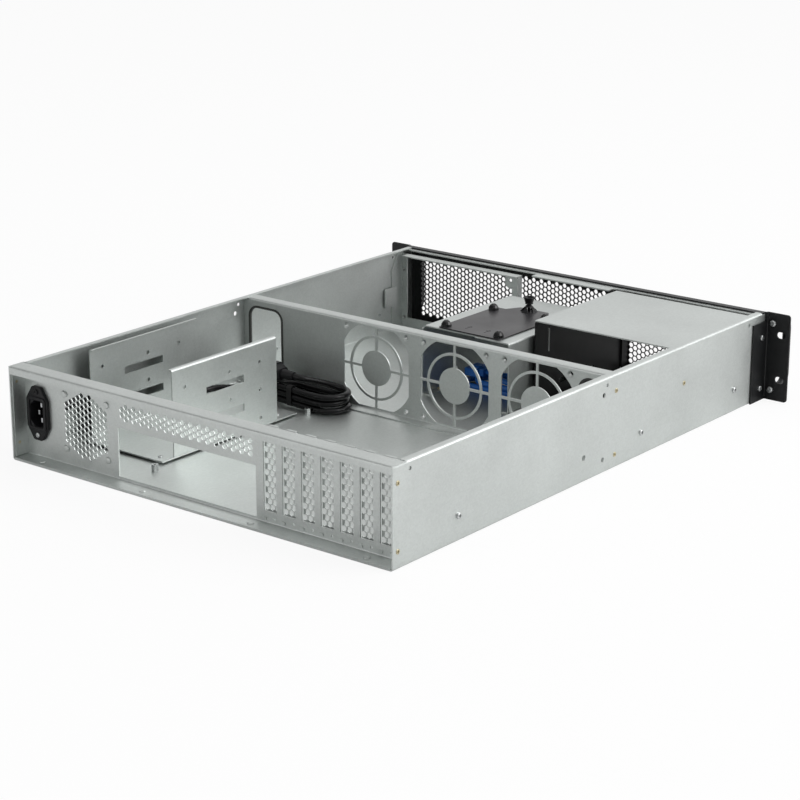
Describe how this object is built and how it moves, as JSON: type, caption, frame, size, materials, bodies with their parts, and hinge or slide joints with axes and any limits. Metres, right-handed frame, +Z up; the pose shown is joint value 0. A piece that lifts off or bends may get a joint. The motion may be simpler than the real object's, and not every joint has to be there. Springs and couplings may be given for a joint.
{
  "type": "empty rackmount server case",
  "caption": "Open-topped rackmount server case with stamped fan wall, drive cages, supply cradle, slotted rear panel, rack ears and handles.",
  "frame": {"origin": "middle of the footprint, on the surface that the case stands on", "axes": "+Z up, +Y to the rear panel, +X across to the side with the mains inlet"},
  "size_m": [0.4826, 0.6034, 0.0865],
  "materials": {
    "black_plastic": "matt moulded plastic",
    "black_rubber": "matt rubber",
    "black_steel": "fine textured black powder coat",
    "blue_plastic": "blue cable jacket",
    "board_green": "solder mask",
    "brass_screw": "yellow chromate",
    "chrome_pin": "nickel plate",
    "galvanised": "matt galvanised sheet",
    "lens": "clear lens",
    "zinc_screw": "bright zinc plate"
  },
  "bodies": {
    "case": {"bay_cage_cover": "galvanised", "bay_cage_side": "black_steel", "bay_cover_1": "black_steel", "bay_cover_2": "black_steel", "cable_gate_trim": "black_rubber", "cage_screws": "brass_screw", "chassis_base": "galvanised", "control_board": "board_green", "control_panel": "black_plastic", "cradle_screws": "zinc_screw", "data_coil": "blue_plastic", "data_header": "blue_plastic", "data_lead": "blue_plastic", "drive_cage": "galvanised", "ear_left": "black_steel", "ear_right": "black_steel", "ear_screws": "zinc_screw", "fan_wall": "galvanised", "front_fan_frame": "galvanised", "front_panel": "black_steel", "handle_left": "black_steel", "handle_right": "black_steel", "handle_screws": "zinc_screw", "inlet_pins": "chrome_pin", "inlet_screws": "zinc_screw", "mains_boot": "black_plastic", "mains_coil": "black_plastic", "mains_lead": "black_plastic", "mains_plug": "black_plastic", "power_inlet": "black_plastic", "psu_cradle": "galvanised", "rail_screws": "zinc_screw", "rear_panel": "galvanised", "side_gate_trim": "black_rubber", "slot_cover_1": "galvanised", "slot_cover_2": "galvanised", "slot_cover_3": "galvanised", "slot_cover_4": "galvanised", "slot_cover_5": "galvanised", "slot_cover_6": "galvanised", "slot_cover_7": "galvanised", "ssd_tray": "black_steel", "standoffs": "zinc_screw", "status_lights": "lens", "top_strip": "galvanised", "tray_domes": "black_rubber", "tray_knob": "black_plastic", "usb_ports": "zinc_screw", "wall_screws": "brass_screw"},
    "power_button": {"power_button": "black_plastic"},
    "reset_button": {"reset_button": "black_plastic"}
  },
  "joints": [
    {"name": "power_button_press", "type": "slide", "parent": "case", "child": "power_button", "axis": [0, 1, 0], "range_m": [0, 0.002], "stiffness_N_per_m": 400, "springref_m": -0.003},
    {"name": "reset_button_press", "type": "slide", "parent": "case", "child": "reset_button", "axis": [0, 1, 0], "range_m": [0, 0.0015], "stiffness_N_per_m": 300, "springref_m": -0.003}
  ]
}
